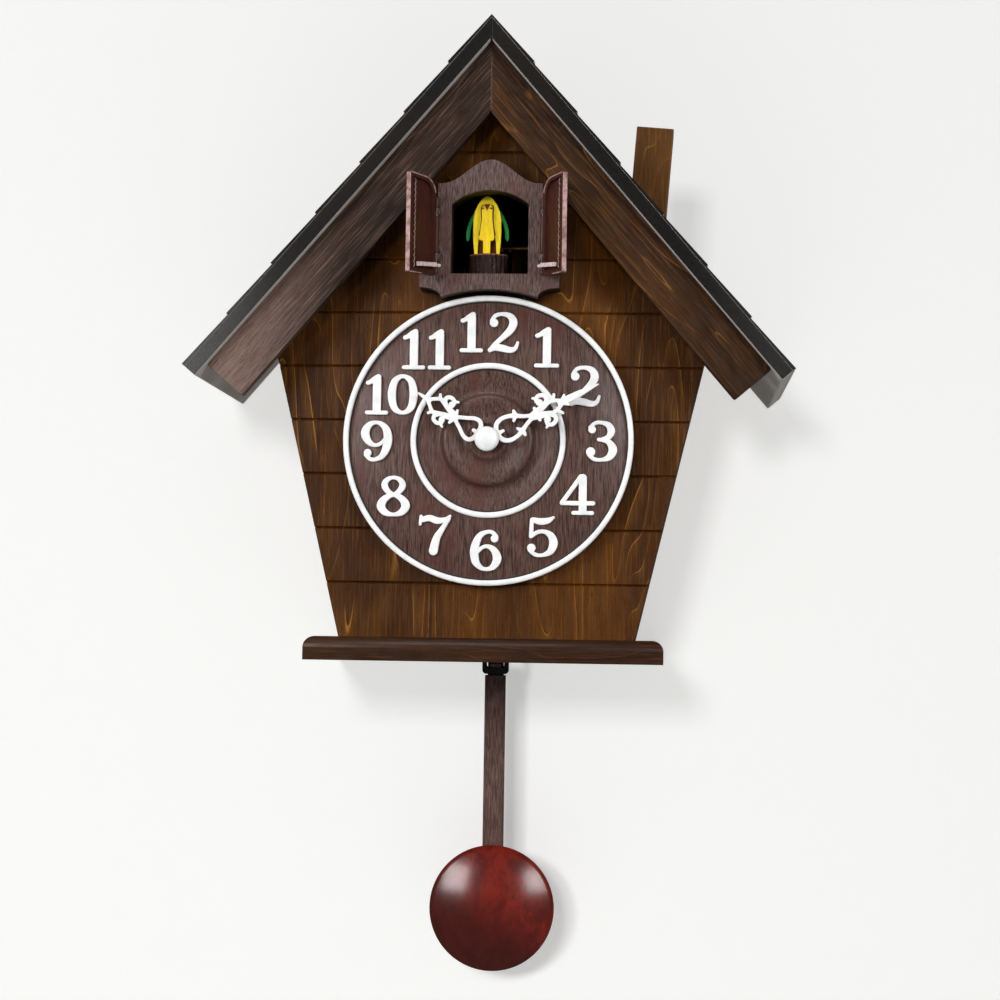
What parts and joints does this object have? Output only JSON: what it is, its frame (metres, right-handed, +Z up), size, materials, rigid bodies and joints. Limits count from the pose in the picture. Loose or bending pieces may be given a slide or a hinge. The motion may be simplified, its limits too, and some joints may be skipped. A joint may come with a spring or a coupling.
{
  "type": "cuckoo clock",
  "caption": "Wooden birdhouse cuckoo clock for a wall, with a raised-numeral dial, a bird behind shutters and a free pendulum below.",
  "frame": {"origin": "centre of the hanging hole on the rear face of the back panel", "axes": "+X to the viewer's right, +Y into the wall, +Z up; the dial looks along -Y"},
  "size_m": [0.3312, 0.1672, 0.5293],
  "materials": {
    "case_wood": "satin stained plywood",
    "barge_wood": "satin stained wood",
    "roof_wood": "satin near-black stain",
    "base_wood": "satin dark stain",
    "inner_wood": "unfinished wood",
    "back_board": "smooth hardboard",
    "dial_plastic": "moulded wood grain",
    "frame_plastic": "moulded wood grain",
    "shutter_plastic": "moulded, semi-gloss",
    "white_plastic": "gloss",
    "yellow_plastic": "gloss",
    "green_plastic": "gloss",
    "red_paint": "gloss",
    "bark_plastic": "moulded bark",
    "rod_plastic": "moulded wood grain",
    "bob_lacquer": "gloss lacquer",
    "black_plastic": "satin",
    "grey_plastic": "satin",
    "steel": "plated",
    "brass": "bright",
    "copper": "enamelled wire",
    "board_green": "solder mask",
    "cell_wrap": "plain printed wrap",
    "speaker_metal": "satin"
  },
  "bodies": {
    "case": {"back_panel": "back_board", "back_panel_screws": "steel", "base_board": "base_wood", "batteries": "cell_wrap", "battery_contacts": "steel", "battery_tray": "black_plastic", "bird_motor": "steel", "chimney": "case_wood", "circuit_board": "board_green", "corner_blocks": "inner_wood", "cross_rail": "inner_wood", "dial_numerals": "white_plastic", "dial_nut": "brass", "dial_plate": "dial_plastic", "dial_rings": "white_plastic", "front_panel": "case_wood", "hinge_pins": "steel", "left_bargeboard": "barge_wood", "left_roof_board": "roof_wood", "left_shingles": "roof_wood", "left_side_board": "case_wood", "mechanism_base": "black_plastic", "movement_bush": "brass", "movement_front_shell": "black_plastic", "movement_rear_shell": "black_plastic", "pendulum_drive": "black_plastic", "right_bargeboard": "barge_wood", "right_roof_board": "roof_wood", "right_shingles": "roof_wood", "right_side_board": "case_wood", "speaker": "speaker_metal", "stepper_coil": "copper", "switch_body": "black_plastic", "window_frame": "frame_plastic"},
    "minute_hand_body": {"minute_hand": "white_plastic", "hand_cap": "white_plastic", "minute_arbor": "steel"},
    "hour_hand_body": {"hour_hand": "white_plastic", "hour_wheel": "black_plastic"},
    "motion_work": {"motion_wheel": "black_plastic", "setting_knob": "grey_plastic"},
    "pendulum": {"pendulum_hanger": "black_plastic", "drive_magnet": "steel", "pendulum_rod": "rod_plastic", "pendulum_bob": "bob_lacquer"},
    "bird": {"bird_carriage": "black_plastic", "push_rod": "brass", "perch_log": "bark_plastic", "bird_body": "yellow_plastic", "bird_breast": "yellow_plastic", "bird_face": "red_paint"},
    "left_wing_body": {"left_wing": "green_plastic"},
    "right_wing_body": {"right_wing": "green_plastic"},
    "left_shutter_body": {"left_shutter": "shutter_plastic", "left_shutter_bar": "shutter_plastic"},
    "right_shutter_body": {"right_shutter": "shutter_plastic", "right_shutter_bar": "shutter_plastic"},
    "pinion_body": {"drive_pinion": "black_plastic"},
    "rear_door_body": {"rear_door": "back_board"},
    "switch_knob_body": {"switch_knob": "grey_plastic"}
  },
  "joints": [
    {"name": "minute_turn", "type": "hinge", "parent": "case", "child": "minute_hand_body", "pos_m": [0, -0.122, -0.15], "axis": [0, 1, 0], "continuous": true},
    {"name": "hour_turn", "type": "hinge", "parent": "case", "child": "hour_hand_body", "pos_m": [0, -0.122, -0.15], "axis": [0, 1, 0], "continuous": true},
    {"name": "motion_work_turn", "type": "hinge", "parent": "case", "child": "motion_work", "pos_m": [0, -0.122, -0.162], "axis": [0, 1, 0], "continuous": true},
    {"name": "pendulum_swing", "type": "hinge", "parent": "case", "child": "pendulum", "pos_m": [0, -0.035, -0.196], "axis": [0, 1, 0], "range_deg": [-6, 6]},
    {"name": "bird_slide", "type": "slide", "parent": "case", "child": "bird", "axis": [0, 1, 0], "range_m": [0, 0.022]},
    {"name": "left_wing_flap", "type": "hinge", "parent": "bird", "child": "left_wing_body", "pos_m": [-0.0086, -0.118, -0.0232], "axis": [0, 1, 0], "range_deg": [-14, 1]},
    {"name": "right_wing_flap", "type": "hinge", "parent": "bird", "child": "right_wing_body", "pos_m": [0.0034, -0.118, -0.0232], "axis": [0, 1, 0], "range_deg": [-1, 14]},
    {"name": "left_shutter_swing", "type": "hinge", "parent": "case", "child": "left_shutter_body", "pos_m": [-0.029, -0.141, -0.035], "axis": [0, 0, 1], "range_deg": [-1, 115.01]},
    {"name": "right_shutter_swing", "type": "hinge", "parent": "case", "child": "right_shutter_body", "pos_m": [0.029, -0.141, -0.035], "axis": [0, 0, -1], "range_deg": [-1, 115.01]},
    {"name": "pinion_turn", "type": "hinge", "parent": "case", "child": "pinion_body", "pos_m": [-0.014, -0.078, -0.051], "axis": [1, 0, 0], "range_deg": [-5, 215]},
    {"name": "rear_door_swing", "type": "hinge", "parent": "case", "child": "rear_door_body", "pos_m": [-0.052, -0.0025, -0.15], "axis": [0, 0, 1], "range_deg": [0, 90]},
    {"name": "switch_travel", "type": "slide", "parent": "case", "child": "switch_knob_body", "axis": [1, 0, 0], "range_m": [0, 0.006]}
  ],
  "couplings": [
    {"joint": "hour_turn", "follows": "minute_turn", "ratio": 0.083333},
    {"joint": "motion_work_turn", "follows": "minute_turn", "ratio": -0.33333},
    {"joint": "left_wing_flap", "follows": "bird_slide", "rad_per_m": -9.52},
    {"joint": "right_wing_flap", "follows": "bird_slide", "rad_per_m": 9.52},
    {"joint": "left_shutter_swing", "follows": "bird_slide", "rad_per_m": 91.233},
    {"joint": "right_shutter_swing", "follows": "bird_slide", "rad_per_m": 91.233},
    {"joint": "pinion_turn", "follows": "bird_slide", "rad_per_m": 166.67}
  ]
}
